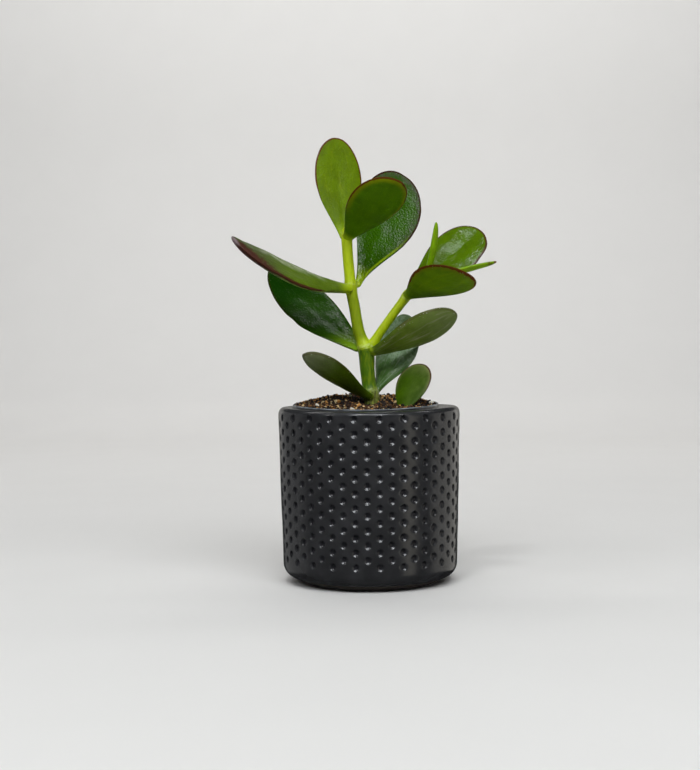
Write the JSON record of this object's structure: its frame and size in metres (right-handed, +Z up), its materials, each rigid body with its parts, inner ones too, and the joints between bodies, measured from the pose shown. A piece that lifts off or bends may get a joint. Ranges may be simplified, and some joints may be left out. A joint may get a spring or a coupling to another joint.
{
  "type": "potted jade plant",
  "caption": "Young jade plant with one stem, a side branch and thick rounded leaves in pairs, growing in potting mix in a dimpled, dark glazed round pot.",
  "frame": {"origin": "centre of the underside of the pot's foot", "axes": "+Z up; the front, as the picture shows it, faces -Y; +X is to the viewer's right; the side branch grows towards +X"},
  "size_m": [0.1128, 0.0851, 0.196],
  "materials": {
    "pot": "satin",
    "soil": "matte",
    "stem": "satin",
    "leaf_deep": "satin",
    "leaf_gloss": "gloss",
    "leaf_waxy": "satin",
    "leaf_pale": "satin",
    "leaf_olive": "satin"
  },
  "bodies": {
    "root": {"pot": "pot", "soil": "soil", "stem": "stem", "leaf_1_front": "leaf_deep", "leaf_1_back": "leaf_gloss", "leaf_2_back": "leaf_gloss", "leaf_2_front": "leaf_deep", "leaf_3_front": "leaf_waxy", "leaf_3_back": "leaf_gloss", "leaf_4_back": "leaf_pale", "leaf_4_front": "leaf_olive", "branch_leaf_1_front": "leaf_olive", "branch_leaf_1_back": "leaf_gloss", "branch_leaf_2_left": "leaf_pale", "branch_leaf_2_right": "leaf_pale", "leaf_in_soil": "leaf_deep"}
  },
  "joints": []
}
